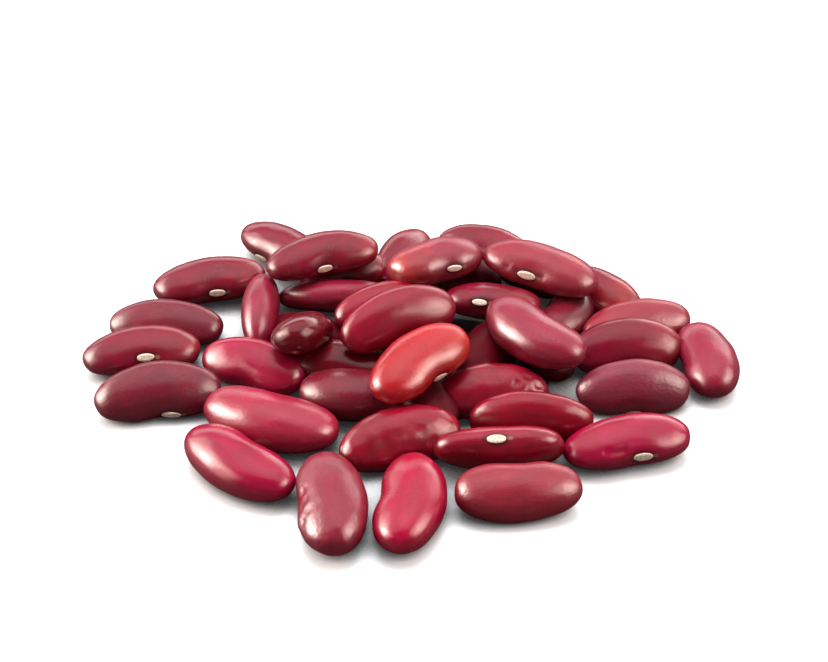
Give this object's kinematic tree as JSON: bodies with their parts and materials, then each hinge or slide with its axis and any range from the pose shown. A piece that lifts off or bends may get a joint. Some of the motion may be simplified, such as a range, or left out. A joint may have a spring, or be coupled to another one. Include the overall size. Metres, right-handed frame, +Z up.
{
  "type": "heap of dried kidney beans",
  "caption": "Low loose heap of dried dark red kidney beans, wider than deep, with an uneven outline and a flat underside.",
  "frame": {"origin": "on the surface that the heap lies on, under its middle, on the flat underside of the core", "axes": "+Z up, +X along the long side of the heap to the viewer's right, +Y away from the viewer"},
  "size_m": [0.091, 0.0718, 0.0119],
  "materials": {
    "bean_skin": "glossy dark red seed coat, from crimson to purple-brown"
  },
  "bodies": {
    "root": {"bean_heap": "bean_skin"}
  },
  "joints": []
}
